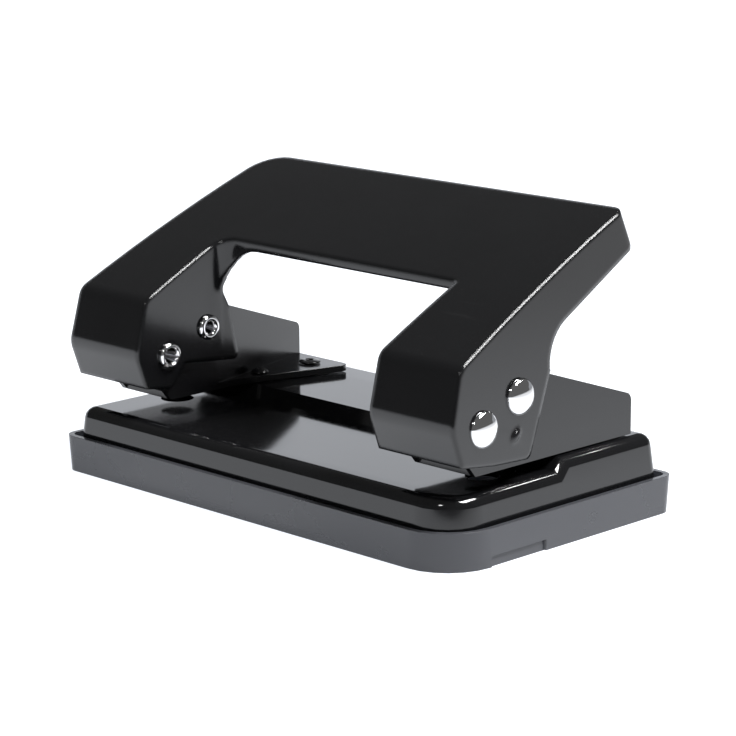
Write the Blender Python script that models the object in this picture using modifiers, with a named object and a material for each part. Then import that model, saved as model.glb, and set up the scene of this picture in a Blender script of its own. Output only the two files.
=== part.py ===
"""Two-hole paper punch: pressed steel lever, brackets and base on a chip tray."""
import math

import bmesh
import bpy
from mathutils import Matrix

MM = 0.001

# Driving dimensions, in millimetres. Y runs from the paper side to the handle.
HOLE_SPACING = 80.0
FIT_GAP = 0.3
SHEET = 1.1
BRACKET_SHEET = 1.2

TRAY_HALF_WIDTH = 50.7
TRAY_FRONT = -0.6
TRAY_REAR = 57.6
TRAY_HEIGHT = 6.9
TRAY_WALL = 0.9
TRAY_FLOOR = 1.2
TRAY_FOOT_INSET = 0.3
TRAY_CORNERS = {0: 2.6, 1: 9.8, 2: 2.6, 3: 2.6}     # front left, front right, rear right, rear left
TRAY_NOTCH = (10.0, 23.5, 2.0, 0.7)          # from, to, height, depth

BASE_INSET = TRAY_WALL + FIT_GAP
BASE_CORNERS = {0: 3.8, 1: 9.8, 2: 3.8, 3: 3.8}     # as drawn at the tray's outer wall
BASE_SKIRT_Z = 2.2
BASE_FRONT_Z = 12.2
BASE_REAR_Z = 14.4
BASE_STEP = (29.0, 31.0)
BASE_DRAFT = 1.3
BASE_SHEET = 1.0

LEVER_NOSE = ((3.3, 18.2), (1.0, 24.7), (3.5, 34.2))
LEVER_TOP = (25.0, 45.4, 0.4566, -0.0016)     # y, height, slope and bend of the arched top
LEVER_REAR_TOP_Y = 48.5
LEVER_TILT = math.radians(25.0)
LEVER_NOSE_BENDS = (4.5, 3.2)                 # radii at the nose's middle and top
LEVER_REAR_HALF = 45.5
LEVER_TAPER = 0.077                           # gain in half width for each mm towards the nose
BAR_FRONT_Y = 22.7
BAR_SKIRT_Z = 42.5
BAR_REAR = 25.8
BAR_CORNERS = {1: 2.5, 2: 6.5}                # rear right, rear left
ARM_INNER = 30.3
EAR_INSET = 0.03
WINDOW_CORNERS = {2: 2.5, 3: 9.5}             # seen from the front: right, left
WINDOW_PLAN_CORNERS = {2: 1.0, 3: 3.5}        # seen from above: rear right, rear left
PIP = (17.3, 21.0)

PIVOT = (8.8, 23.8)
LIFT_PIN = (18.5, 27.6)
PIVOT_RADIUS = 1.8
LIFT_RADIUS = 1.2
HEAD_RADIUS = 3.2
ROLLED_RADIUS = 2.65
PRESS_ANGLE = math.radians(20.0)

FLOOR_Z = BASE_REAR_Z + FIT_GAP
FLOOR_TOP = FLOOR_Z + BRACKET_SHEET
BRACKET_OUTER = 46.1
BRACKET_INNER = 31.9
BRACKET_FRONT = 10.5
BRACKET_REAR = 50.6
BRACKET_BEND_Y = 22.0
BRACKET_REAR_INNER = 39.8
FOOT_INNER = 24.9
FOOT_START_Y = 27.2

PUNCH_RADIUS = 3.0
PUNCH_TIP_Z = FLOOR_Z + 0.4
PUNCH_TOP_Z = 33.0
PUNCH_BORE = 0.15
COLLAR_Z = 24.0
COLLAR_RADIUS = 4.4
COLLAR_THICK = 0.7
CLIP_THICK = 0.6
SPRING_RADIUS = 3.95
SPRING_WIRE = 0.3
SPRING_TURNS = 4.5

FRONT_RIVET = (32.6, 33.5)
REAR_EYELET = (31.6, 45.8)

lever_arm_y = LIFT_PIN[0] - PIVOT[0]
lever_arm_z = LIFT_PIN[1] - PIVOT[1]
lift_reach = math.hypot(lever_arm_y, lever_arm_z)
PUNCH_Y = PIVOT[0] + (lever_arm_y + lift_reach) / 2
LIFT_SWAY = (lift_reach - lever_arm_y) / 2
PRESS_STROKE = lever_arm_y * math.sin(PRESS_ANGLE) + lever_arm_z * (1 - math.cos(PRESS_ANGLE))

BLACK_PAINT = ("black_paint", (0.012, 0.012, 0.014, 1), 0.18, 0.0)
SMOKED_PLASTIC = ("smoked_plastic", (0.12, 0.12, 0.13, 1), 0.3, 0.0)
BRIGHT_PLATE = ("bright_plate", (0.75, 0.75, 0.76, 1), 0.12, 1.0)
HARD_STEEL = ("hard_steel", (0.42, 0.43, 0.45, 1), 0.28, 1.0)
SPRING_STEEL = ("spring_steel", (0.5, 0.5, 0.52, 1), 0.3, 1.0)

for old in list(bpy.data.objects):
    bpy.data.objects.remove(old, do_unlink=True)

parts = bpy.data.collections.new("paper_punch")
cutters = bpy.data.collections.new("cutters")
bpy.context.scene.collection.children.link(parts)
bpy.context.scene.collection.children.link(cutters)


def material(name, finish):
    """A plain finish of its own for one part."""
    label, colour, roughness, metallic = finish
    made = bpy.data.materials.new(f"{name}_{label}")
    made.use_nodes = True
    shader = made.node_tree.nodes["Principled BSDF"]
    shader.inputs["Base Color"].default_value = colour
    shader.inputs["Roughness"].default_value = roughness
    shader.inputs["Metallic"].default_value = metallic
    return made


def place(obj, collection):
    for owner in list(obj.users_collection):
        owner.objects.unlink(obj)
    collection.objects.link(obj)


def as_part(obj, name, finish):
    """Name a solid as one part of the punch and give it its finish."""
    obj.name = name
    obj.data.name = name
    place(obj, parts)
    obj.data.materials.clear()
    obj.data.materials.append(material(name, finish))
    obj.data.shade_smooth()
    obj.data.set_sharp_from_angle(angle=math.radians(30))
    return obj


def as_cutter(obj):
    place(obj, cutters)
    obj.hide_render = True
    obj.display_type = "WIRE"
    return obj


def arc(centre, radius, start, end, steps):
    """Points on an arc, with angles in degrees."""
    points = []
    for i in range(steps + 1):
        angle = math.radians(start + (end - start) * i / steps)
        points.append((centre[0] + radius * math.cos(angle), centre[1] + radius * math.sin(angle)))
    return points


def rounded(points, radii, steps=5):
    """An outline with some of its corners rounded; radii maps a point's index to a radius."""
    outline = []
    count = len(points)
    for i, point in enumerate(points):
        radius = radii.get(i, 0)
        if radius == 0:
            outline.append(point)
            continue
        before, after = points[i - 1], points[(i + 1) % count]
        to_before = math.atan2(before[1] - point[1], before[0] - point[0])
        to_after = math.atan2(after[1] - point[1], after[0] - point[0])
        half = ((to_after - to_before + math.pi) % (2 * math.pi) - math.pi) / 2
        centre_angle = to_before + half
        reach = radius / math.sin(abs(half))
        centre = (point[0] + reach * math.cos(centre_angle), point[1] + reach * math.sin(centre_angle))
        turn = math.pi - 2 * abs(half)
        first = centre_angle + math.pi + math.copysign(turn / 2, half)
        for k in range(steps + 1):
            angle = first - math.copysign(turn, half) * k / steps
            outline.append((centre[0] + radius * math.cos(angle), centre[1] + radius * math.sin(angle)))
    return outline


def prism(name, outline, low, high, frame):
    """A flat outline extruded from low to high along the frame's Z, as a mesh."""
    curve = bpy.data.curves.new(name, "CURVE")
    curve.dimensions = "2D"
    curve.fill_mode = "BOTH"
    curve.extrude = (high - low) / 2 * MM
    spline = curve.splines.new("POLY")
    spline.points.add(len(outline) - 1)
    for point, (u, v) in zip(spline.points, outline):
        point.co = (u * MM, v * MM, 0, 1)
    spline.use_cyclic_u = True
    shape = bpy.data.objects.new(name, curve)
    bpy.context.scene.collection.objects.link(shape)
    shape.matrix_world = frame @ Matrix.Translation((0, 0, (low + high) / 2 * MM))
    bpy.context.view_layer.update()
    evaluated = shape.evaluated_get(bpy.context.evaluated_depsgraph_get())
    mesh = bpy.data.meshes.new_from_object(evaluated)
    work = bmesh.new()
    work.from_mesh(mesh)
    bmesh.ops.remove_doubles(work, verts=work.verts, dist=1e-6)
    bmesh.ops.recalc_face_normals(work, faces=work.faces)
    bmesh.ops.transform(work, matrix=shape.matrix_world, verts=work.verts)
    work.to_mesh(mesh)
    work.free()
    bpy.data.objects.remove(shape, do_unlink=True)
    bpy.data.curves.remove(curve)
    solid = bpy.data.objects.new(name, mesh)
    parts.objects.link(solid)
    return solid


# Frames for outlines: seen from above, from the side, square to the tilted top plate, from the front.
ORIGIN = Matrix.Translation((0, -(TRAY_FRONT + TRAY_REAR) / 2 * MM, 0))
PLAN = ORIGIN
SIDE = ORIGIN @ Matrix(((0, 0, 1, 0), (1, 0, 0, 0), (0, 1, 0, 0), (0, 0, 0, 1)))
PLATE = ORIGIN @ Matrix.Translation((0, LEVER_TOP[0] * MM, LEVER_TOP[1] * MM))
PLATE = PLATE @ Matrix.Rotation(LEVER_TILT, 4, "X")
FRONT = ORIGIN @ Matrix(((1, 0, 0, 0), (0, 0, -1, 0), (0, 1, 0, 0), (0, 0, 0, 1)))


def combine(obj, other, operation):
    """Cut, join or keep the overlap of obj with other, which becomes a guide."""
    as_cutter(other)
    step = obj.modifiers.new(other.name, "BOOLEAN")
    step.operation = operation
    step.object = other
    step.solver = "EXACT"
    return obj


def soften(obj, width, segments, angle=30.0):
    step = obj.modifiers.new("rounded_edges", "BEVEL")
    step.width = width * MM
    step.segments = segments
    step.limit_method = "ANGLE"
    step.angle_limit = math.radians(angle)
    step.use_clamp_overlap = True
    return obj


def turned(name, profile, frame, steps=32):
    """A profile of (radius, height) points turned about the frame's Z, top to bottom outside."""
    mesh = bpy.data.meshes.new(name)
    work = bmesh.new()
    points = [work.verts.new((radius * MM, 0, height * MM)) for radius, height in profile]
    for first, second in zip(points, points[1:]):
        work.edges.new((first, second))
    work.to_mesh(mesh)
    work.free()
    solid = bpy.data.objects.new(name, mesh)
    parts.objects.link(solid)
    solid.matrix_world = frame
    screw = solid.modifiers.new("turn", "SCREW")
    screw.steps = steps
    screw.render_steps = steps
    screw.use_merge_vertices = True
    screw.merge_threshold = 0.00001
    return solid


def drill(obj, name, radius, low, high, frame, steps=24):
    """Cut a round hole along the frame's Z."""
    depth = (high - low) * MM
    middle = Matrix.Translation((0, 0, (low + high) / 2 * MM))
    bpy.ops.mesh.primitive_cylinder_add(vertices=steps, radius=radius * MM, depth=depth)
    hole = bpy.context.object
    hole.name = name
    hole.matrix_world = frame @ middle
    return combine(obj, hole, "DIFFERENCE")


def across(y, z):
    """A frame with its Z along +X, at a point of the side view."""
    return ORIGIN @ Matrix.Translation((0, y * MM, z * MM)) @ Matrix.Rotation(math.pi / 2, 4, "Y")


def upright(x, y):
    return ORIGIN @ Matrix.Translation((x * MM, y * MM, 0))


def top_height(y, drop=0.0):
    """Height of the arched top plate at y, less a drop square to the plate."""
    start, height, slope, bend = LEVER_TOP
    along = y - start
    local = slope + 2 * bend * along
    return height + slope * along + bend * along * along - drop * math.hypot(1, local)


def pan_outline(inset, radii):
    """The tray's plan drawn in by an inset, with its corner radii tightened to match."""
    half, front, rear = TRAY_HALF_WIDTH - inset, TRAY_FRONT + inset, TRAY_REAR - inset
    corners = [(-half, front), (half, front), (half, rear), (-half, rear)]
    return rounded(corners, {i: radius - inset for i, radius in radii.items()}, 6)


def draft(solid, low, high, low_inset, high_inset):
    """Lean a prism's walls, so that its plan is drawn in by one inset below and another above."""
    work = bmesh.new()
    work.from_mesh(solid.data)
    for vert in work.verts:
        share = (vert.co.z / MM - low) / (high - low)
        inset = (low_inset + share * (high_inset - low_inset)) * MM
        vert.co.x -= math.copysign(inset, vert.co.x)
        vert.co.y -= math.copysign(inset, vert.co.y)
    work.to_mesh(solid.data)
    work.free()
    return solid


def make_tray():
    half = TRAY_HALF_WIDTH
    tray = prism("chip_tray", pan_outline(0, TRAY_CORNERS), 0, TRAY_HEIGHT, PLAN)
    draft(tray, 0, TRAY_HEIGHT, TRAY_FOOT_INSET, 0)
    top = TRAY_HEIGHT + 2
    hollow = prism("tray_hollow", pan_outline(TRAY_WALL, TRAY_CORNERS), TRAY_FLOOR, top, PLAN)
    combine(tray, draft(hollow, TRAY_FLOOR, TRAY_HEIGHT, TRAY_FOOT_INSET, 0), "DIFFERENCE")
    start, end, height, depth = TRAY_NOTCH
    outline = [(start, -1), (end, -1), (end, height), (start, height)]
    for side in (-1, 1):
        low, high = sorted((side * (half - depth), side * (half + 1)))
        combine(tray, prism("tray_notch", outline, low, high, SIDE), "DIFFERENCE")
    return as_part(tray, "chip_tray", SMOKED_PLASTIC)


def base_shell(name, inset, drop):
    """The base's outer or inner form: a stepped top with drafted, rounded sides."""
    edge = BASE_INSET + TRAY_FOOT_INSET + inset
    front, rear, half = TRAY_FRONT - 2, TRAY_REAR + 2, TRAY_HALF_WIDTH + 2
    shift = drop * math.tan(math.atan2(BASE_REAR_Z - BASE_FRONT_Z, BASE_STEP[1] - BASE_STEP[0]) / 2)
    low, high = BASE_FRONT_Z - drop, BASE_REAR_Z - drop
    bottom = BASE_SKIRT_Z - (2 if inset else 0)
    outline = [(front, bottom), (rear, bottom), (rear, high), (BASE_STEP[1] + shift, high)]
    outline += [(BASE_STEP[0] + shift, low), (front, low)]
    form = prism(name, outline, -half, half, SIDE)
    top = BASE_REAR_Z + 1
    plan = prism(name + "_plan", pan_outline(edge, BASE_CORNERS), bottom - 1, top, PLAN)
    draft(plan, bottom - 1, top, 0, BASE_DRAFT)
    combine(form, plan, "INTERSECT")
    return form


def make_base():
    base = base_shell("base_plate", 0, 0)
    soften(base, 2.0, 4, 50)
    inside = base_shell("base_hollow", BASE_SHEET, BASE_SHEET)
    combine(base, inside, "DIFFERENCE")
    for side in (-1, 1):
        die = upright(side * HOLE_SPACING / 2, PUNCH_Y)
        drill(base, "die_hole", PUNCH_RADIUS + PUNCH_BORE, 8, 20, die)
        for x, y in (FRONT_RIVET, REAR_EYELET):
            drill(base, "rivet_hole", 1.25, 8, 20, upright(side * x, y), 16)
    return as_part(base, "base_plate", BLACK_PAINT)


def bracket_profile():
    """The bracket walls seen from the side."""
    reach = 5.0
    outline = [(BRACKET_FRONT, FLOOR_Z), (BRACKET_REAR, FLOOR_Z), (BRACKET_REAR, 22.0), (21.0, 32.0)]
    outline = rounded(outline, {2: 1.6}, 4)
    outline += arc(PIVOT, reach, 90, 190, 8)
    return outline


def make_bracket(word, side):
    name = "bracket_" + word
    gap = BRACKET_SHEET
    plan = [(BRACKET_OUTER, BRACKET_FRONT), (BRACKET_OUTER, BRACKET_REAR), (FOOT_INNER, BRACKET_REAR)]
    plan += [(BRACKET_INNER, FOOT_START_Y), (BRACKET_INNER, BRACKET_FRONT)]
    plan = rounded(plan, {2: 1.5}, 3)
    plan = [(side * x, y) for x, y in plan]
    floor = prism(name, plan, FLOOR_Z, FLOOR_TOP, PLAN)
    low, high = sorted((side * (BRACKET_OUTER - gap), side * BRACKET_OUTER))
    outer = prism(name + "_outer_wall", bracket_profile(), low, high, SIDE)
    combine(floor, outer, "UNION")
    strip = [(BRACKET_INNER, 1.0), (BRACKET_INNER, BRACKET_BEND_Y), (BRACKET_REAR_INNER, BRACKET_REAR + 1)]
    strip += [(x + gap, y) for x, y in reversed(strip)]
    strip = [(side * x, y) for x, y in strip]
    inner = prism(name + "_inner_wall", strip, FLOOR_Z, FLOOR_Z + 20, PLAN)
    low, high = sorted((side * (BRACKET_INNER - 2), side * (BRACKET_REAR_INNER + 3)))
    shape = prism(name + "_inner_shape", bracket_profile(), low, high, SIDE)
    combine(inner, shape, "INTERSECT")
    combine(floor, inner, "UNION")
    drill(floor, name + "_guide", PUNCH_RADIUS + PUNCH_BORE, 10, 20, upright(side * 40, PUNCH_Y))
    for x, y in (FRONT_RIVET, REAR_EYELET):
        drill(floor, name + "_foot_hole", 1.25, 10, 20, upright(side * x, y), 16)
    span = sorted((side * (BRACKET_INNER - 2), side * (BRACKET_OUTER + 2)))
    drill(floor, name + "_pivot_hole", PIVOT_RADIUS + 0.15, *span, across(*PIVOT))
    half = LIFT_RADIUS + LIFT_SWAY + 0.3
    low_z = LIFT_PIN[1] - PRESS_STROKE - LIFT_RADIUS - 0.3
    high_z = LIFT_PIN[1] + LIFT_RADIUS + 0.3
    slot = [(PUNCH_Y - half, low_z), (PUNCH_Y + half, low_z)]
    slot += [(PUNCH_Y + half, high_z), (PUNCH_Y - half, high_z)]
    slot = rounded(slot, dict.fromkeys(range(4), half * 0.8), 4)
    combine(floor, prism(name + "_lift_slot", slot, *span, SIDE), "DIFFERENCE")
    return as_part(floor, name, BLACK_PAINT)


def lever_half(along):
    """Half of the lever's width at a distance along its top plate."""
    return LEVER_REAR_HALF + LEVER_TAPER * (BAR_REAR - along)


def lever_plan(shrink):
    """The lever's outer plan, seen square to its top plate."""
    nose, rear = -60.0, BAR_REAR - shrink
    right = [(lever_half(nose) - shrink, nose), (lever_half(rear) - shrink, rear)]
    left = [(-x, y) for x, y in reversed(right)]
    corners = {i: radius - shrink for i, radius in BAR_CORNERS.items()}
    return rounded(right + left, corners, 6)


def between_arms(name, grow):
    """The block of space between the two arms, from the noses back to the bar."""
    half = ARM_INNER + grow
    rear = BAR_FRONT_Y + grow
    corners = {i: radius + grow for i, radius in WINDOW_PLAN_CORNERS.items()}
    outline = rounded([(-half, -20), (half, -20), (half, rear), (-half, rear)], corners, 5)
    return prism(name, outline, 0, 70, PLAN)


def lever_side(drop):
    """The lever's outside seen from the side, left open below."""
    low, mid, high = LEVER_NOSE
    nose_shift = drop
    outline = [(low[0] + nose_shift + 2.3, low[1] - 6.5), (mid[0] + nose_shift, mid[1])]
    outline += [(high[0] + nose_shift, top_height(high[0] + nose_shift, drop))]
    steps = 9
    first = high[0] + nose_shift
    for i in range(1, steps + 1):
        y = first + (LEVER_REAR_TOP_Y + 6 - first) * i / steps
        outline.append((y, top_height(y, drop)))
    outline += [(62.0, 5.0), (low[0] + nose_shift + 4.7, 5.0)]
    middle_bend, top_bend = LEVER_NOSE_BENDS
    return rounded(outline, {1: middle_bend - drop, 2: top_bend - drop}, 5)


def lever_underside():
    """Everything below the side walls' lower edge."""
    edge = [(-4.0, 18.6), (3.3, 18.2), (11.6, 17.0), (21.2, 16.3), (27.2, 30.6)]
    edge = rounded(edge, {3: 1.6}, 4)
    edge += arc((35.2, 31.2), 8.2, 183, 118, 7)
    edge += [(45.5, 45.4), (50.2, 47.7), (51.4, 49.6), (66.0, 49.6), (66.0, 2.0), (-4.0, 2.0)]
    return edge


def window_outline():
    """The opening between the arms below the bar's front skirt, seen from the front."""
    half = ARM_INNER - EAR_INSET
    corners = [(-half, 0), (half, 0), (half, BAR_SKIRT_Z), (-half, BAR_SKIRT_Z)]
    return rounded(corners, WINDOW_CORNERS, 8)


def ear_outline():
    """The arm's inner wall where it reaches back past the bar's skirt, seen from the side."""
    return [(12.0, 21.0), (27.0, 19.0), (27.0, 30.0), (23.5, 34.0), (23.5, 39.0), (12.0, 36.5)]


def ear_underside():
    """What is cut away below and behind the arm's inner wall."""
    edge = [(-4.0, 2.0), (40.0, 2.0), (40.0, 37.0), (24.2, 37.0), (22.1, 34.4), (24.0, 30.7)]
    edge += [(26.4, 20.2), (13.0, 21.6), (9.0, 17.0), (-4.0, 17.0)]
    return rounded(edge, {4: 2.0, 5: 3.0, 6: 1.2}, 4)


def pressed_pip(side):
    """A small oval pip that stands out of the arm's outer wall."""
    bpy.ops.mesh.primitive_uv_sphere_add(segments=20, ring_count=10, radius=1.0)
    pip = bpy.context.object
    pip.name = "pressed_pip"
    size = Matrix.Diagonal((0.75 * MM, 1.7 * MM, 0.85 * MM, 1.0))
    centre = Matrix.Translation((side * (head_seat(PIP) - 0.2) * MM, PIP[0] * MM, PIP[1] * MM))
    pip.data.transform(ORIGIN @ centre @ Matrix.Rotation(math.radians(38), 4, "X") @ size)
    return pip


def make_lever():
    wide = lever_half(0) + 8
    lever = prism("lever", lever_side(0), -wide, wide, SIDE)
    combine(lever, prism("lever_plan", lever_plan(0), -60, 40, PLATE), "INTERSECT")
    combine(lever, between_arms("lever_gap", 0), "DIFFERENCE")
    soften(lever, 1.4, 4, 35)
    hollow = prism("lever_hollow", lever_side(SHEET), -wide, wide, SIDE)
    combine(hollow, prism("lever_hollow_plan", lever_plan(SHEET), -70, 50, PLATE), "INTERSECT")
    combine(hollow, between_arms("lever_hollow_gap", SHEET), "DIFFERENCE")
    combine(lever, hollow, "DIFFERENCE")
    combine(lever, prism("lever_underside", lever_underside(), -60, 60, SIDE), "DIFFERENCE")
    window = prism("lever_window", window_outline(), -BAR_FRONT_Y - 2 * SHEET, 20, FRONT)
    combine(lever, window, "DIFFERENCE")
    for side in (-1, 1):
        low, high = sorted((side * (ARM_INNER + EAR_INSET), side * (ARM_INNER + SHEET - EAR_INSET)))
        combine(lever, prism("lever_ear", ear_outline(), low, high, SIDE), "UNION")
        low, high = sorted((side * (ARM_INNER - 1), side * (ARM_INNER + SHEET + 1)))
        combine(lever, prism("ear_underside", ear_underside(), low, high, SIDE), "DIFFERENCE")
    for side in (-1, 1):
        combine(lever, pressed_pip(side), "UNION")
    drill(lever, "pivot_holes", PIVOT_RADIUS + 0.15, -60, 60, across(*PIVOT))
    drill(lever, "lift_holes", LIFT_RADIUS + 0.15, -60, 60, across(*LIFT_PIN))
    return as_part(lever, "lever", BLACK_PAINT)


def pin_profile(radius, head_at, end_at):
    """A rivet with a domed head at the far end and a rolled tubular near end."""
    seat = head_at + 0.25
    profile = [(0.0, seat + 1.7)]
    dome = 2 * HEAD_RADIUS
    for i in range(1, 6):
        angle = math.radians(90 - 11.5 * i)
        height = seat + 1.7 - dome * (1 - math.sin(angle)) * 1.12
        profile.append((min(dome * math.cos(angle) * 1.02, HEAD_RADIUS), max(height, seat + 0.3)))
    profile += [(HEAD_RADIUS, seat), (radius, seat), (radius, end_at - 0.25)]
    profile += [(ROLLED_RADIUS - 0.25, end_at - 0.25), (ROLLED_RADIUS, end_at - 0.55)]
    profile += [(ROLLED_RADIUS - 0.35, end_at - 0.95), (radius * 0.85, end_at - 0.95)]
    profile += [(radius * 0.5, end_at - 0.3), (radius * 0.5, end_at + 1.6), (0.0, end_at + 1.9)]
    return profile


def make_pin(name, radius, spot, side, head_at):
    frame = across(*spot)
    if side < 0:
        frame = ORIGIN @ Matrix.Translation((0, spot[0] * MM, spot[1] * MM))
        frame = frame @ Matrix.Rotation(-math.pi / 2, 4, "Y")
    return as_part(turned(name, pin_profile(radius, head_at, ARM_INNER), frame), name, BRIGHT_PLATE)


def make_punch(word, side):
    name = "punch_" + word
    radius, neck = PUNCH_RADIUS, PUNCH_RADIUS - 0.7
    groove = COLLAR_Z + COLLAR_THICK + 0.05
    profile = [(0, PUNCH_TOP_Z), (radius - 0.6, PUNCH_TOP_Z), (radius, PUNCH_TOP_Z - 0.6)]
    profile += [(radius, groove + CLIP_THICK + 0.2), (neck, groove + CLIP_THICK + 0.2)]
    profile += [(neck, groove), (radius, groove), (radius, PUNCH_TIP_Z), (0, PUNCH_TIP_Z + 1.1)]
    punch = turned(name, profile, upright(side * HOLE_SPACING / 2, PUNCH_Y))
    half = LIFT_RADIUS + LIFT_SWAY + 0.15
    low, high = LIFT_PIN[1] - LIFT_RADIUS - 0.2, LIFT_PIN[1] + LIFT_RADIUS + 0.2
    slot = [(PUNCH_Y - half, low), (PUNCH_Y + half, low), (PUNCH_Y + half, high), (PUNCH_Y - half, high)]
    slot = rounded(slot, dict.fromkeys(range(4), 1.2), 4)
    span = sorted((side * 34, side * 46))
    combine(punch, prism(name + "_slot", slot, *span, SIDE), "DIFFERENCE")
    return as_part(punch, name, HARD_STEEL)


def make_collar(word, side):
    name = "spring_collar_" + word
    bore, top = PUNCH_RADIUS + 0.15, COLLAR_Z + COLLAR_THICK
    rim = COLLAR_RADIUS
    profile = [(bore, COLLAR_Z), (bore, top), (rim, top), (rim, COLLAR_Z), (bore, COLLAR_Z)]
    frame = upright(side * HOLE_SPACING / 2, PUNCH_Y)
    return as_part(turned(name, profile, frame), name, BRIGHT_PLATE)


def make_clip(word, side):
    """A snap ring in the punch's groove, open towards the handle."""
    name = "snap_ring_" + word
    bore, rim = PUNCH_RADIUS - 0.55, PUNCH_RADIUS + 1.0
    outline = arc((0, 0), rim, 115, 425, 20) + arc((0, 0), bore, 425, 115, 16)
    low = COLLAR_Z + COLLAR_THICK + 0.15
    frame = upright(side * HOLE_SPACING / 2, PUNCH_Y)
    clip = prism(name, outline, low, low + CLIP_THICK, frame)
    return as_part(clip, name, HARD_STEEL)


def make_spring(word, side):
    name = "spring_" + word
    low = FLOOR_TOP + FIT_GAP + SPRING_WIRE
    high = COLLAR_Z - FIT_GAP - SPRING_WIRE
    curve = bpy.data.curves.new(name, "CURVE")
    curve.dimensions = "3D"
    curve.bevel_depth = SPRING_WIRE * MM
    curve.bevel_resolution = 1
    curve.use_fill_caps = True
    spline = curve.splines.new("POLY")
    steps = int(SPRING_TURNS * 12)
    spline.points.add(steps)
    for i, point in enumerate(spline.points):
        angle = 2 * math.pi * SPRING_TURNS * i / steps
        height = low + (high - low) * i / steps
        x, y = SPRING_RADIUS * math.cos(angle), SPRING_RADIUS * math.sin(angle)
        point.co = (x * MM, y * MM, height * MM, 1)
    spring = bpy.data.objects.new(name, curve)
    parts.objects.link(spring)
    spring.matrix_world = upright(side * HOLE_SPACING / 2, PUNCH_Y)
    curve.materials.append(material(name, SPRING_STEEL))
    return spring


def make_foot_rivet(word, side):
    name = "foot_rivet_" + word
    under, top = BASE_REAR_Z - BASE_SHEET - 0.2, FLOOR_TOP + 0.2
    profile = [(0, top + 0.9), (0.8, top + 0.75), (1.5, top + 0.3), (1.75, top), (1.0, top)]
    profile += [(1.0, under), (1.7, under), (1.4, under - 0.6), (0, under - 0.8)]
    frame = upright(side * FRONT_RIVET[0], FRONT_RIVET[1])
    return as_part(turned(name, profile, frame, 16), name, BLACK_PAINT)


def make_eyelet(word, side):
    name = "foot_eyelet_" + word
    under, top = BASE_REAR_Z - BASE_SHEET - 0.2, FLOOR_TOP + 0.2
    profile = [(0.65, under - 0.6), (0.65, top + 0.4), (1.1, top + 0.55), (2.1, top + 0.3), (2.1, top)]
    profile += [(1.05, top), (1.05, under), (1.8, under), (1.6, under - 0.6), (0.65, under - 0.6)]
    frame = upright(side * REAR_EYELET[0], REAR_EYELET[1])
    return as_part(turned(name, profile, frame, 16), name, BLACK_PAINT)


def head_seat(spot):
    """Where the lever's outer wall lies at a pin, as a distance from the middle."""
    along = (spot[0] - LEVER_TOP[0]) * math.cos(LEVER_TILT) + (spot[1] - LEVER_TOP[1]) * math.sin(LEVER_TILT)
    return lever_half(along)


def main():
    make_tray()
    make_base()
    make_lever()
    for word, side in (("left", -1), ("right", 1)):
        make_bracket(word, side)
        make_pin("pivot_pin_" + word, PIVOT_RADIUS, PIVOT, side, head_seat(PIVOT))
        make_pin("lift_pin_" + word, LIFT_RADIUS, LIFT_PIN, side, head_seat(LIFT_PIN) + 0.1)
        make_punch(word, side)
        make_collar(word, side)
        make_clip(word, side)
        make_spring(word, side)
        make_foot_rivet(word, side)
        make_eyelet(word, side)


main()
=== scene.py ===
"""Two-hole paper punch: finishes, fine pieces and studio, laid out as a sidebar add-on."""
import math

import bmesh
import bpy
from bpy.props import FloatProperty, FloatVectorProperty, PointerProperty
from bpy.types import Operator, Panel, PropertyGroup
from mathutils import Matrix, Vector


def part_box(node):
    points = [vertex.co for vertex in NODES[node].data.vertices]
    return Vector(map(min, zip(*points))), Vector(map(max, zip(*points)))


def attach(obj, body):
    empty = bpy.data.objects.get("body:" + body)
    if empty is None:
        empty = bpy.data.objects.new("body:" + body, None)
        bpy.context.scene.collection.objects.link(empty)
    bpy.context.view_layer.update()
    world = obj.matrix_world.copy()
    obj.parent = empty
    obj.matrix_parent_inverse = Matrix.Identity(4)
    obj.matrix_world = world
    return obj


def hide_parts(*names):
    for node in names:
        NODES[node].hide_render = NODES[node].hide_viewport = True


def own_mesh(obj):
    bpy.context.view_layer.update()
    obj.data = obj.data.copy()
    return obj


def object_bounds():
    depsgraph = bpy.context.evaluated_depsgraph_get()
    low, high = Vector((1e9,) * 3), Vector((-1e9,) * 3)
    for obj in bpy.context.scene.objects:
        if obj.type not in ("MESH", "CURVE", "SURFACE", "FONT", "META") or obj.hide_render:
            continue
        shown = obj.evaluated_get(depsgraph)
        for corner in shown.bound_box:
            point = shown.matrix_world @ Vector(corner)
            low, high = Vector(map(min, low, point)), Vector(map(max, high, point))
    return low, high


bl_info = {
    "name": "Paper Punch Finisher",
    "version": (1, 0, 0),
    "blender": (4, 5, 0),
    "location": "3D Viewport > Sidebar > Punch",
    "description": "Finishes a two-hole paper punch and sets it in a pale studio",
    "category": "Object",
}

SIDES = (("left", -1), ("right", 1))

# All lengths are in metres.
WELD_DISTANCE = 0.000002
SMALL_EDGE = 0.00008

# Rivets: each kind with the body that it rides on and its shank radius.
RIVETS = (("pivot_pin_", "frame", 0.0018), ("lift_pin_", "lever", 0.0012))
ARC_STEPS = 12
HEAD_SEAT = 0.0003
DOME_BASE, DOME_SHARE, DOME_POWER = 0.00022, 0.86, 1.1
SKIRT_HEIGHT, SKIRT_UNDERCUT = 0.00018, 0.00012
ROLL_DEPTH, ROLL_RISE = 0.00025, 0.0007
BORE_OF_RIM, BORE_OF_SHANK = 0.6, 0.92
BORE_NARROWING, BORE_FLOOR = 0.8, 0.45
BORE_DEPTHS = (0.0012, 0.003, 0.0034)

# Springs: points in a turn, and how far the end turns lie closed.
SPRING_STEPS = 28
SPRING_CLOSING = 0.8

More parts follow.
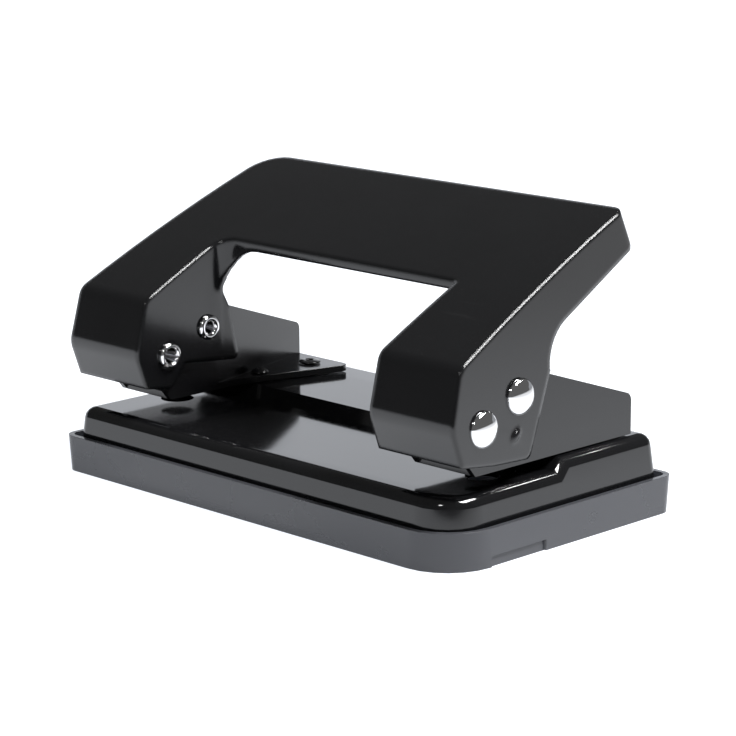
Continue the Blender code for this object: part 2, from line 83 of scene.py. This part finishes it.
# Soft lights: name, direction from the punch, distance, width, height and power in watts.
STUDIO_CENTRE = Vector((0.0, 0.0, 0.025))
SOFTBOXES = (
    ("bend_strip", (0.457, 0.25, 0.825), 1.1, 0.62, 0.27, 28.0),
    ("corner_fill", (0.5, -1.0, 0.9), 1.5, 0.16, 0.1, 2.5),
    ("shoulder_spark", (0.224, 0.682, 0.69), 1.1, 0.03, 0.03, 0.25),
)
WORLD_STRENGTH = 0.12

# Floor: its sheet, then the painted glow that makes the floor itself shine like a lamp, full round the
# punch and weaker far to its right, which darkens reflections on that side.
FLOOR_HALF, FLOOR_FRONT, FLOOR_BACK = 6.0, -4.0, 1.6
SWEEP_RADIUS, SWEEP_STEPS, BACKDROP_TOP = 0.35, 16, 0.85
FLOOR_TURN = math.radians(45)
FLOOR_DROP = 0.00005
GLOW_TINT = (0.93, 0.965, 1.03)
GLOW_NEAR, GLOW_FAR = 1.05, 0.3
GLOW_ACROSS = (0.794, 0.622, 0.0)
GLOW_REACH = (0.10, 0.30)

CAMERA_TARGET = Vector((0.00749, -0.0051, 0.025))
CAMERA_LENS = 133.4
CAMERA_ROLL = math.radians(-0.41)

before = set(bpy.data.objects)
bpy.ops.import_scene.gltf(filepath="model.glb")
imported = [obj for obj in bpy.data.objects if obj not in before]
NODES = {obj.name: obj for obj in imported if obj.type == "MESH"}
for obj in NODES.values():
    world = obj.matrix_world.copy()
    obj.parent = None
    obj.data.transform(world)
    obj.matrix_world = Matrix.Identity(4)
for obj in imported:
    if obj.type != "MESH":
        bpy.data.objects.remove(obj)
CAD_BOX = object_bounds()


def node_centre(node):
    """Middle of a CAD node's box at rest."""
    low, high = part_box(node)
    return (Vector(low) + Vector(high)) / 2


# ---------------------------------------------------------------- settings


class PunchSizes(PropertyGroup):
    edge_round: FloatProperty(
        name="Edge rounding",
        description="Radius of the fine rounding along cut and bent steel edges",
        default=0.00022,
        min=0.0,
        unit="LENGTH",
    )
    bend_radius: FloatProperty(
        name="Bend radius",
        description="Radius that the lever's bends show between its top plate and walls",
        default=0.0013,
        min=0.0,
        unit="LENGTH",
    )
    head_radius: FloatProperty(
        name="Rivet head radius",
        description="Radius of the bright domed heads outside the arms",
        default=0.0032,
        min=0.001,
        unit="LENGTH",
    )
    head_height: FloatProperty(
        name="Rivet head height",
        description="How far the domed heads stand out",
        default=0.00165,
        min=0.0002,
        unit="LENGTH",
    )
    rolled_radius: FloatProperty(
        name="Rolled end radius",
        description="Radius of the rolled tubular ends between the arms",
        default=0.0024,
        min=0.001,
        unit="LENGTH",
    )
    spring_wire: FloatProperty(
        name="Spring wire radius",
        description="Radius of the wire in the punch springs",
        default=0.0003,
        min=0.0001,
        unit="LENGTH",
    )
    spring_turns: FloatProperty(
        name="Spring turns",
        description="Turns in each punch spring, its closed ends included",
        default=5.5,
        min=2.0,
    )
    grain: FloatProperty(
        name="Enamel grain",
        description="Width of the ripples in the sprayed enamel",
        default=0.0021,
        min=0.0001,
        unit="LENGTH",
    )
    camera_distance: FloatProperty(
        name="Camera distance",
        description="From the camera to the point it looks at",
        default=0.4888,
        min=0.1,
        unit="LENGTH",
    )
    camera_azimuth: FloatProperty(
        name="Camera azimuth",
        description="Turn of the camera round the punch from straight ahead",
        default=math.radians(45.55),
        unit="ROTATION",
    )
    camera_elevation: FloatProperty(
        name="Camera elevation",
        description="Height of the camera over the horizon",
        default=math.radians(13.18),
        unit="ROTATION",
    )


def colour(name, description, default):
    """A colour setting with its usual limits."""
    return FloatVectorProperty(
        name=name, description=description, default=default, subtype="COLOR", size=3, min=0.0, max=1.0
    )


class PunchColours(PropertyGroup):
    enamel: colour("Enamel", "Black enamel on the lever, brackets and base", (0.0035, 0.0036, 0.0040))
    enamel_worn: colour("Worn enamel", "Where hands have dulled the enamel", (0.011, 0.0115, 0.012))
    dust: colour("Dust", "Fine dust on faces that look up", (0.30, 0.29, 0.28))
    tray: colour("Tray plastic", "Smoky plastic of the chip tray", (0.07, 0.0725, 0.082))
    plating: colour("Plating", "Bright plating on the rivets", (0.82, 0.82, 0.83))
    steel: colour("Tool steel", "Ground steel of the punches and rings", (0.42, 0.43, 0.45))
    spring: colour("Spring wire", "Drawn wire of the springs", (0.5, 0.5, 0.52))
    floor: colour("Floor", "Pale studio floor and backdrop", (0.24, 0.24, 0.24))


def settings():
    """The sizes and the colours of the open scene."""
    scene = bpy.context.scene
    return scene.punch_sizes, scene.punch_colours


# ---------------------------------------------------------------- node groups


def new_group(name, inputs, outputs):
    """An empty shader node group with its sockets; returns the group and its two end nodes."""
    group = bpy.data.node_groups.new(name, "ShaderNodeTree")
    for label, kind, value in inputs:
        socket = group.interface.new_socket(label, in_out="INPUT", socket_type=kind)
        socket.default_value = value
    for label, kind in outputs:
        group.interface.new_socket(label, in_out="OUTPUT", socket_type=kind)
    return group, group.nodes.new("NodeGroupInput"), group.nodes.new("NodeGroupOutput")


def add_node(tree, kind, **facts):
    """A node of one kind with its settings."""
    node = tree.nodes.new(kind)
    for label, value in facts.items():
        setattr(node, label, value)
    return node


def spray_ripple():
    """Ripple of a sprayed or moulded skin: a height for bump and a slow mask for roughness."""
    inputs = (("Scale", "NodeSocketFloat", 400.0), ("Patch Scale", "NodeSocketFloat", 60.0))
    outputs = (("Height", "NodeSocketFloat"), ("Patches", "NodeSocketFloat"))
    group, source, sink = new_group("spray_ripple", inputs, outputs)
    place = add_node(group, "ShaderNodeTexCoord")
    ripple = add_node(group, "ShaderNodeTexNoise")
    ripple.inputs["Detail"].default_value = 2.0
    patches = add_node(group, "ShaderNodeTexNoise")
    patches.inputs["Detail"].default_value = 5.0
    link = group.links.new
    link(place.outputs["Object"], ripple.inputs["Vector"])
    link(place.outputs["Object"], patches.inputs["Vector"])
    link(source.outputs["Scale"], ripple.inputs["Scale"])
    link(source.outputs["Patch Scale"], patches.inputs["Scale"])
    link(ripple.outputs["Fac"], sink.inputs["Height"])
    link(patches.outputs["Fac"], sink.inputs["Patches"])
    return group


def handling_scratches():
    """Fine hairline scratches, mostly along one way, thinned out by a slow noise."""
    inputs = (
        ("Density", "NodeSocketFloat", 900.0),
        ("Stretch", "NodeSocketVector", (0.06, 1.0, 1.0)),
        ("Amount", "NodeSocketFloat", 0.3),
    )
    group, source, sink = new_group("handling_scratches", inputs, (("Mask", "NodeSocketFloat"),))
    place = add_node(group, "ShaderNodeTexCoord")
    stretch = add_node(group, "ShaderNodeVectorMath", operation="MULTIPLY")
    lines = add_node(group, "ShaderNodeTexNoise")
    lines.inputs["Detail"].default_value = 3.0
    thin = add_node(group, "ShaderNodeMapRange")
    thin.inputs["From Min"].default_value = 0.66
    thin.inputs["From Max"].default_value = 0.74
    where = add_node(group, "ShaderNodeTexNoise")
    where.inputs["Scale"].default_value = 45.0
    keep = add_node(group, "ShaderNodeMapRange")
    keep.inputs["From Min"].default_value = 0.5
    keep.inputs["From Max"].default_value = 0.68
    both = add_node(group, "ShaderNodeMath", operation="MULTIPLY")
    scaled = add_node(group, "ShaderNodeMath", operation="MULTIPLY", use_clamp=True)
    link = group.links.new
    link(place.outputs["Object"], stretch.inputs[0])
    link(source.outputs["Stretch"], stretch.inputs[1])
    link(stretch.outputs["Vector"], lines.inputs["Vector"])
    link(source.outputs["Density"], lines.inputs["Scale"])
    link(lines.outputs["Fac"], thin.inputs["Value"])
    link(place.outputs["Object"], where.inputs["Vector"])
    link(where.outputs["Fac"], keep.inputs["Value"])
    link(thin.outputs["Result"], both.inputs[0])
    link(keep.outputs["Result"], both.inputs[1])
    link(both.outputs["Value"], scaled.inputs[0])
    link(source.outputs["Amount"], scaled.inputs[1])
    link(scaled.outputs["Value"], sink.inputs["Mask"])
    return group


def settled_dust():
    """Specks of dust on faces that look up."""
    inputs = (("Speck Scale", "NodeSocketFloat", 2600.0), ("Amount", "NodeSocketFloat", 0.4))
    group, source, sink = new_group("settled_dust", inputs, (("Mask", "NodeSocketFloat"),))
    place = add_node(group, "ShaderNodeTexCoord")
    geometry = add_node(group, "ShaderNodeNewGeometry")
    split = add_node(group, "ShaderNodeSeparateXYZ")
    upward = add_node(group, "ShaderNodeMapRange")
    upward.inputs["From Min"].default_value = 0.75
    upward.inputs["From Max"].default_value = 0.99
    specks = add_node(group, "ShaderNodeTexNoise")
    specks.inputs["Detail"].default_value = 1.0
    sparse = add_node(group, "ShaderNodeMapRange")
    sparse.inputs["From Min"].default_value = 0.68
    sparse.inputs["From Max"].default_value = 0.8
    both = add_node(group, "ShaderNodeMath", operation="MULTIPLY")
    scaled = add_node(group, "ShaderNodeMath", operation="MULTIPLY", use_clamp=True)
    link = group.links.new
    link(geometry.outputs["Normal"], split.inputs["Vector"])
    link(split.outputs["Z"], upward.inputs["Value"])
    link(place.outputs["Object"], specks.inputs["Vector"])
    link(source.outputs["Speck Scale"], specks.inputs["Scale"])
    link(specks.outputs["Fac"], sparse.inputs["Value"])
    link(upward.outputs["Result"], both.inputs[0])
    link(sparse.outputs["Result"], both.inputs[1])
    link(both.outputs["Value"], scaled.inputs[0])
    link(source.outputs["Amount"], scaled.inputs[1])
    link(scaled.outputs["Value"], sink.inputs["Mask"])
    return group


def effect(tree, maker, **values):
    """One shared effect placed in a material with its own values; the group is built once."""
    group = bpy.data.node_groups.get(maker.__name__) or maker()
    node = add_node(tree, "ShaderNodeGroup", node_tree=group)
    for label, value in values.items():
        node.inputs[label.replace("_", " ").title()].default_value = value
    return node


# ---------------------------------------------------------------- materials


def new_material(name):
    """A material with its tree and its main shader."""
    material = bpy.data.materials.new(name)
    material.use_nodes = True
    return material, material.node_tree, material.node_tree.nodes["Principled BSDF"]


def mix_colour(tree, mask, first, second):
    """Mixes a colour, or a node's colour, with a plain one by a mask."""
    node = add_node(tree, "ShaderNodeMix", data_type="RGBA")
    tree.links.new(mask, node.inputs["Factor"])
    if isinstance(first, bpy.types.NodeSocket):
        tree.links.new(first, node.inputs["A"])
    else:
        node.inputs["A"].default_value = (*first, 1.0)
    node.inputs["B"].default_value = (*second, 1.0)
    return node.outputs["Result"]


def spread(tree, value, low, high):
    """Maps a 0 to 1 value onto a range, for roughness and the like."""
    node = add_node(tree, "ShaderNodeMapRange")
    node.inputs["To Min"].default_value = low
    node.inputs["To Max"].default_value = high
    tree.links.new(value, node.inputs["Value"])
    return node.outputs["Result"]


def bump(tree, shader, height, strength, distance):
    """Fine relief on a shader; returns the Bump node."""
    node = add_node(tree, "ShaderNodeBump")
    node.inputs["Strength"].default_value = strength
    node.inputs["Distance"].default_value = distance
    tree.links.new(height, node.inputs["Height"])
    tree.links.new(node.outputs["Normal"], shader.inputs["Normal"])
    return node


def round_bends(tree, relief, radius):
    """Shades the bends of pressed sheet as rounded to a radius, under a bump node's relief."""
    bend = add_node(tree, "ShaderNodeBevel", samples=8)
    bend.inputs["Radius"].default_value = radius
    tree.links.new(bend.outputs["Normal"], relief.inputs["Normal"])


def enamel_material(name, roughness, dust_amount, scratch_stretch, bend_radius=0.0):
    """Glossy sprayed enamel with faint ripple, hairlines and a little dust."""
    sizes, colours = settings()
    material, tree, shader = new_material(name)
    skin = effect(tree, spray_ripple, scale=1.0 / sizes.grain, patch_scale=70.0)
    hairs = effect(tree, handling_scratches, stretch=scratch_stretch, amount=0.5)
    dust = effect(tree, settled_dust, amount=dust_amount)
    duller = tuple(c * 1.5 for c in colours.enamel)
    cloudy = mix_colour(tree, skin.outputs["Patches"], colours.enamel, duller)
    scuffed = mix_colour(tree, hairs.outputs["Mask"], cloudy, colours.enamel_worn)
    dusted = mix_colour(tree, dust.outputs["Mask"], scuffed, colours.dust)
    tree.links.new(dusted, shader.inputs["Base Color"])
    patchy = spread(tree, skin.outputs["Patches"], roughness * 0.8, roughness * 1.25)
    tree.links.new(patchy, shader.inputs["Roughness"])
    shader.inputs["IOR"].default_value = 1.54
    relief = bump(tree, shader, skin.outputs["Height"], 0.03, 0.00012)
    if bend_radius > 0.0:
        round_bends(tree, relief, bend_radius)
    return material


def tray_material():
    """Smoky translucent plastic with a moulded skin."""
    sizes, colours = settings()
    material, tree, shader = new_material("smoked_tray_plastic")
    skin = effect(tree, spray_ripple, scale=900.0, patch_scale=55.0)
    hairs = effect(tree, handling_scratches, density=2200.0, stretch=(0.02, 0.02, 1.0), amount=0.5)
    lighter = tuple(c * 1.2 for c in colours.tray)
    cloudy = mix_colour(tree, skin.outputs["Patches"], colours.tray, lighter)
    tree.links.new(mix_colour(tree, hairs.outputs["Mask"], cloudy, lighter), shader.inputs["Base Color"])
    tree.links.new(spread(tree, skin.outputs["Patches"], 0.2, 0.36), shader.inputs["Roughness"])
    shader.inputs["IOR"].default_value = 1.49
    shader.inputs["Transmission Weight"].default_value = 0.45
    bump(tree, shader, skin.outputs["Height"], 0.03, 0.0001)
    return material


def metal_material(name, tint, roughness, scratches, stretch):
    """Bare or plated metal with fine working marks."""
    material, tree, shader = new_material(name)
    skin = effect(tree, spray_ripple, scale=1500.0, patch_scale=260.0)
    hairs = effect(tree, handling_scratches, density=1600.0, stretch=stretch, amount=scratches)
    darker = tuple(c * 0.72 for c in tint)
    patched = mix_colour(tree, skin.outputs["Patches"], tint, tuple(c * 0.94 for c in tint))
    tree.links.new(mix_colour(tree, hairs.outputs["Mask"], patched, darker), shader.inputs["Base Color"])
    patchy = spread(tree, skin.outputs["Patches"], roughness * 0.7, roughness * 1.3)
    tree.links.new(patchy, shader.inputs["Roughness"])
    shader.inputs["Metallic"].default_value = 1.0
    bump(tree, shader, hairs.outputs["Mask"], 0.1, 0.00005)
    return material


# ---------------------------------------------------------------- pieces


def finish_node(node, material, edge_round):
    """Gives a CAD node its finish, finely rounded edges and evenly shaded faces."""
    obj = NODES[node]
    mesh = obj.data
    mesh.shade_smooth()
    for label in ("sharp_edge", "custom_normal"):
        if label in mesh.attributes:
            mesh.attributes.remove(mesh.attributes[label])
    mesh.materials.clear()
    mesh.materials.append(material)
    joined = obj.modifiers.new("joined_faces", "WELD")
    joined.merge_threshold = WELD_DISTANCE
    rounding = obj.modifiers.new("edge_round", "BEVEL")
    rounding.width = edge_round
    rounding.segments = 3
    rounding.limit_method = "ANGLE"
    rounding.angle_limit = math.radians(40)
    rounding.use_clamp_overlap = True
    level = obj.modifiers.new("level_faces", "WEIGHTED_NORMAL")
    level.mode = "FACE_AREA_WITH_ANGLE"


def smooth(mesh, angle):
    """Shades a mesh smooth, but for edges sharper than an angle in degrees."""
    mesh.shade_smooth()
    mesh.set_sharp_from_angle(angle=math.radians(angle))


def add_piece(name, mesh, material, body, node):
    """Links a finished mesh as a piece that stands for a CAD node."""
    obj = bpy.data.objects.new(name, mesh)
    bpy.context.scene.collection.objects.link(obj)
    mesh.materials.append(material)
    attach(obj, body)
    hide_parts(node)
    return obj


def turned_mesh(name, profile, matrix, steps=72):
    """Turns a profile of (radius, height) points about Z, outer side from top to bottom."""
    work = bmesh.new()
    points = [work.verts.new((radius, 0.0, height)) for radius, height in profile]
    edges = [work.edges.new(pair) for pair in zip(points, points[1:])]
    bmesh.ops.spin(
        work,
        geom=points + edges,
        cent=(0, 0, 0),
        axis=(0, 0, 1),
        angle=2 * math.pi,
        steps=steps,
        use_merge=True,
    )
    bmesh.ops.remove_doubles(work, verts=work.verts, dist=1e-7)
    bmesh.ops.recalc_face_normals(work, faces=work.faces)
    bmesh.ops.transform(work, matrix=matrix, verts=work.verts)
    mesh = bpy.data.meshes.new(name)
    work.to_mesh(mesh)
    work.free()
    smooth(mesh, 40)
    return mesh


def rivet_profile(shank, seat, rolled_end):
    """Domed head at the far end, plain shank, rolled tubular end with a dark bore."""
    sizes, _ = settings()
    dome_reach, dome_rise = sizes.head_radius, sizes.head_height
    profile = []
    for i in range(ARC_STEPS + 1):
        turn = math.pi / 2 * i / ARC_STEPS
        rise = dome_rise * math.cos(turn) ** DOME_POWER * DOME_SHARE
        profile.append((dome_reach * math.sin(turn), seat + rise + DOME_BASE))
    profile[-1] = (dome_reach, seat + SKIRT_HEIGHT)
    profile.append((dome_reach - SKIRT_UNDERCUT, seat))
    profile.append((shank, seat))
    profile.append((shank, rolled_end - ROLL_DEPTH))
    rim = sizes.rolled_radius
    bore = min(rim * BORE_OF_RIM, shank * BORE_OF_SHANK)
    middle, half = (rim + bore) / 2, (rim - bore) / 2
    for i in range(ARC_STEPS + 1):
        turn = math.pi * i / ARC_STEPS
        height = rolled_end - ROLL_DEPTH - ROLL_RISE * math.sin(turn)
        profile.append((middle + half * math.cos(turn), height))
    bore_radii = (bore * BORE_NARROWING, shank * BORE_FLOOR, 0.0)
    for radius, depth in zip(bore_radii, BORE_DEPTHS):
        profile.append((radius, rolled_end + depth))
    return profile


class PUNCH_OT_enamelled_steel(Operator):
    """Finishes the lever, brackets and base in gloss black enamel"""

    bl_idname = "punch.enamelled_steel"
    bl_label = "Enamelled Steel"

    def execute(self, context):
        sizes, _ = settings()
        lever = enamel_material(
            "lever_enamel",
            roughness=0.13,
            dust_amount=0.05,
            scratch_stretch=(0.06, 1.0, 1.0),
            bend_radius=sizes.bend_radius,
        )
        finish_node("lever", lever, sizes.edge_round)
        bracket = enamel_material(
            "bracket_enamel", roughness=0.2, dust_amount=0.1, scratch_stretch=(1.0, 0.08, 1.0)
        )
        for word, _side in SIDES:
            finish_node("bracket_" + word, bracket, sizes.edge_round)
        base = enamel_material(
            "base_enamel", roughness=0.09, dust_amount=0.08, scratch_stretch=(0.05, 1.0, 1.0)
        )
        finish_node("base_plate", base, sizes.edge_round)
        return {"FINISHED"}


class PUNCH_OT_chip_tray(Operator):
    """Finishes the tray in smoky plastic"""

    bl_idname = "punch.chip_tray"
    bl_label = "Chip Tray"

    def execute(self, context):
        sizes, _ = settings()
        finish_node("chip_tray", tray_material(), sizes.edge_round)
        return {"FINISHED"}


class PUNCH_OT_arm_rivets(Operator):
    """Makes the bright pins that the lever turns on and lifts the punches with"""

    bl_idname = "punch.arm_rivets"
    bl_label = "Arm Rivets"

    def execute(self, context):
        sizes, colours = settings()
        plating = metal_material(
            "bright_plating", colours.plating, roughness=0.07, scratches=0.35, stretch=(1.0, 0.2, 1.0)
        )
        for kind, body, shank in RIVETS:
            for word, side in SIDES:
                node = kind + word
                low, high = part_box(node)
                middle = node_centre(node)
                inner, outer = sorted((abs(low[0]), abs(high[0])))
                seat = outer - sizes.head_height - HEAD_SEAT
                turn = Matrix.Rotation(side * math.pi / 2, 4, "Y")
                place = Matrix.Translation((0.0, middle.y, middle.z)) @ turn
                profile = rivet_profile(shank, seat, inner + ROLL_DEPTH + ROLL_RISE)
                mesh = turned_mesh(node + "_fine", profile, place)
                add_piece(node + "_fine", mesh, plating, body, node)
        return {"FINISHED"}


class PUNCH_OT_foot_rivets(Operator):
    """Finishes the rivets and eyelets that hold the brackets to the base"""

    bl_idname = "punch.foot_rivets"
    bl_label = "Foot Rivets"

    def execute(self, context):
        enamel = enamel_material(
            "rivet_enamel", roughness=0.22, dust_amount=0.1, scratch_stretch=(1.0, 1.0, 0.1)
        )
        for word, _side in SIDES:
            finish_node("foot_rivet_" + word, enamel, SMALL_EDGE)
            finish_node("foot_eyelet_" + word, enamel, SMALL_EDGE)
        return {"FINISHED"}


class PUNCH_OT_punch_rods(Operator):
    """Finishes the punches with their collars and snap rings"""

    bl_idname = "punch.punch_rods"
    bl_label = "Punch Rods"

    def execute(self, context):
        _, colours = settings()
        ground = metal_material(
            "ground_tool_steel", colours.steel, roughness=0.26, scratches=0.8, stretch=(1.0, 1.0, 0.08)
        )
        turned = metal_material(
            "turned_ring_steel", colours.steel, roughness=0.32, scratches=0.5, stretch=(1.0, 0.3, 1.0)
        )
        for word, _side in SIDES:
            finish_node("punch_" + word, ground, SMALL_EDGE)
            finish_node("spring_collar_" + word, turned, SMALL_EDGE)
            finish_node("snap_ring_" + word, turned, SMALL_EDGE)
        return {"FINISHED"}


class PUNCH_OT_punch_springs(Operator):
    """Winds the springs that lift the punches"""

    bl_idname = "punch.punch_springs"
    bl_label = "Punch Springs"

    def execute(self, context):
        sizes, colours = settings()
        wire = metal_material(
            "drawn_spring_wire", colours.spring, roughness=0.3, scratches=0.5, stretch=(1.0, 1.0, 1.0)
        )
        radius = sizes.spring_wire
        for word, _side in SIDES:
            node = "spring_" + word
            low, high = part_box(node)
            middle = node_centre(node)
            coil = (high[0] - low[0]) / 2 - radius
            bottom, top = low[2] + radius, high[2] - radius
            curve = bpy.data.curves.new(node + "_wire", "CURVE")
            curve.dimensions = "3D"
            curve.bevel_depth = radius
            curve.bevel_resolution = 3
            curve.use_fill_caps = True
            spline = curve.splines.new("POLY")
            steps = int(sizes.spring_turns * SPRING_STEPS)
            spline.points.add(steps)
            for i, point in enumerate(spline.points):
                share = i / steps
                eased = share - math.sin(2 * math.pi * share) / (2 * math.pi) * SPRING_CLOSING
                angle = 2 * math.pi * sizes.spring_turns * share
                x = middle.x + coil * math.cos(angle)
                y = middle.y + coil * math.sin(angle)
                point.co = (x, y, bottom + (top - bottom) * eased, 1.0)
            shape = bpy.data.objects.new(node + "_wire", curve)
            bpy.context.scene.collection.objects.link(shape)
            bpy.context.view_layer.update()
            depsgraph = bpy.context.evaluated_depsgraph_get()
            mesh = bpy.data.meshes.new_from_object(shape.evaluated_get(depsgraph))
            bpy.data.objects.remove(shape, do_unlink=True)
            bpy.data.curves.remove(curve)
            mesh.materials.clear()
            smooth(mesh, 50)
            spring = add_piece(node + "_fine", mesh, wire, "frame", node)
            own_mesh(spring)
        return {"FINISHED"}


# ---------------------------------------------------------------- studio


def aim(obj, target):
    """Turns a light to look at a point."""
    away = obj.location - target
    obj.rotation_mode = "QUATERNION"
    obj.rotation_quaternion = away.to_track_quat("Z", "Y")


def softbox(name, direction, distance, width, height, power):
    """A rectangular soft light in a direction seen from the punch."""
    lamp = bpy.data.lights.new(name, "AREA")
    lamp.shape = "RECTANGLE"
    lamp.size = width
    lamp.size_y = height
    lamp.energy = power
    obj = bpy.data.objects.new(name, lamp)
    bpy.context.scene.collection.objects.link(obj)
    obj.location = STUDIO_CENTRE + Vector(direction).normalized() * distance
    aim(obj, STUDIO_CENTRE)


class PUNCH_OT_studio(Operator):
    """Lays the pale floor, hangs the soft lights and stands the camera"""

    bl_idname = "punch.studio"
    bl_label = "Studio"

    def execute(self, context):
        sizes, colours = settings()
        self.lay_floor(colours)
        self.hang_lights()
        self.stand_camera(sizes)
        return {"FINISHED"}

    def lay_floor(self, colours):
        """One sheet: flat floor, then a wide sweep up into a backdrop behind the punch."""
        profile = [(FLOOR_FRONT, 0.0), (FLOOR_BACK, 0.0)]
        for i in range(1, SWEEP_STEPS + 1):
            turn = math.pi / 2 * i / SWEEP_STEPS
            along = FLOOR_BACK + SWEEP_RADIUS * math.sin(turn)
            profile.append((along, SWEEP_RADIUS - SWEEP_RADIUS * math.cos(turn)))
        profile.append((FLOOR_BACK + SWEEP_RADIUS, BACKDROP_TOP))
        work = bmesh.new()
        rows = [[work.verts.new((x, y, z)) for y, z in profile] for x in (-FLOOR_HALF, FLOOR_HALF)]
        for i in range(len(profile) - 1):
            work.faces.new((rows[0][i], rows[1][i], rows[1][i + 1], rows[0][i + 1]))
        bmesh.ops.transform(work, matrix=Matrix.Rotation(FLOOR_TURN, 4, "Z"), verts=work.verts)
        mesh = bpy.data.meshes.new("studio_floor")
        work.to_mesh(mesh)
        work.free()
        smooth(mesh, 60)
        material, tree, shader = new_material("studio_paper")
        skin = effect(tree, spray_ripple, scale=300.0, patch_scale=2.0)
        lighter = tuple(min(1.0, c * 1.02) for c in colours.floor)
        cloudy = mix_colour(tree, skin.outputs["Patches"], colours.floor, lighter)
        tree.links.new(cloudy, shader.inputs["Base Color"])
        shader.inputs["Roughness"].default_value = 0.9
        shader.inputs["Specular IOR Level"].default_value = 0.1
        # Painted glow: the floor emits light, full round the punch and dimmer to its right, to darken
        # reflections there.
        tree.links.new(self.falling_glow(tree), shader.inputs["Emission Color"])
        shader.inputs["Emission Strength"].default_value = 1.0
        mesh.materials.append(material)
        floor = bpy.data.objects.new("studio_floor", mesh)
        bpy.context.scene.collection.objects.link(floor)
        floor.location.z = CAD_BOX[0][2] - FLOOR_DROP

    def falling_glow(self, tree):
        """Painted glow of the floor, which shines though it is no lamp: full round the punch, falling
        off to its right so that reflections on that side come out darker.
        """
        place = add_node(tree, "ShaderNodeTexCoord")
        across = add_node(tree, "ShaderNodeVectorMath", operation="DOT_PRODUCT")
        across.inputs[1].default_value = GLOW_ACROSS
        tree.links.new(place.outputs["Object"], across.inputs[0])
        fall = add_node(tree, "ShaderNodeMapRange")
        fall.inputs["From Min"].default_value, fall.inputs["From Max"].default_value = GLOW_REACH
        tree.links.new(across.outputs["Value"], fall.inputs["Value"])
        near, far = (tuple(c * glow for c in GLOW_TINT) for glow in (GLOW_NEAR, GLOW_FAR))
        return mix_colour(tree, fall.outputs["Result"], near, far)

    def hang_lights(self):
        """Soft lights over the punch, and a faint even sky."""
        for box in SOFTBOXES:
            softbox(*box)
        world = bpy.data.worlds.new("studio_world")
        world.use_nodes = True
        sky = world.node_tree.nodes["Background"]
        sky.inputs["Color"].default_value = (1.0, 1.0, 1.0, 1.0)
        sky.inputs["Strength"].default_value = WORLD_STRENGTH
        bpy.context.scene.world = world
        bpy.context.scene.view_settings.view_transform = "Standard"

    def stand_camera(self, sizes):
        """Camera on a ring round its target, slightly rolled."""
        eye = bpy.data.cameras.new("product_camera")
        eye.sensor_width = 36.0
        eye.lens = CAMERA_LENS
        eye.clip_start = 0.01
        obj = bpy.data.objects.new("product_camera", eye)
        bpy.context.scene.collection.objects.link(obj)
        azimuth, elevation = sizes.camera_azimuth, sizes.camera_elevation
        level = math.cos(elevation)
        back = Vector((math.sin(azimuth) * level, -math.cos(azimuth) * level, math.sin(elevation)))
        obj.location = CAMERA_TARGET + back * sizes.camera_distance
        obj.rotation_mode = "QUATERNION"
        roll = Matrix.Rotation(CAMERA_ROLL, 4, "Z").to_quaternion()
        obj.rotation_quaternion = back.to_track_quat("Z", "Y") @ roll
        bpy.context.scene.camera = obj


# ---------------------------------------------------------------- sidebar


class VIEW3D_PT_paper_punch(Panel):
    """Lists the punch's settings and building steps"""

    bl_label = "Paper Punch"
    bl_space_type = "VIEW_3D"
    bl_region_type = "UI"
    bl_category = "Punch"

    def draw(self, context):
        layout = self.layout
        for group in (context.scene.punch_sizes, context.scene.punch_colours):
            column = layout.column(align=True)
            for name in group.bl_rna.properties.keys():
                if name not in {"rna_type", "name"}:
                    column.prop(group, name)
        for operator in OPERATORS:
            layout.operator(operator.bl_idname)


OPERATORS = (
    PUNCH_OT_enamelled_steel,
    PUNCH_OT_chip_tray,
    PUNCH_OT_arm_rivets,
    PUNCH_OT_foot_rivets,
    PUNCH_OT_punch_rods,
    PUNCH_OT_punch_springs,
    PUNCH_OT_studio,
)
CLASSES = (PunchSizes, PunchColours, *OPERATORS, VIEW3D_PT_paper_punch)


def register():
    for cls in CLASSES:
        bpy.utils.register_class(cls)
    bpy.types.Scene.punch_sizes = PointerProperty(type=PunchSizes)
    bpy.types.Scene.punch_colours = PointerProperty(type=PunchColours)


def unregister():
    del bpy.types.Scene.punch_colours
    del bpy.types.Scene.punch_sizes
    for cls in reversed(CLASSES):
        bpy.utils.unregister_class(cls)


def main():
    register()
    bpy.ops.punch.enamelled_steel()
    bpy.ops.punch.chip_tray()
    bpy.ops.punch.arm_rivets()
    bpy.ops.punch.foot_rivets()
    bpy.ops.punch.punch_rods()
    bpy.ops.punch.punch_springs()
    bpy.ops.punch.studio()


if __name__ == "__main__":
    main()
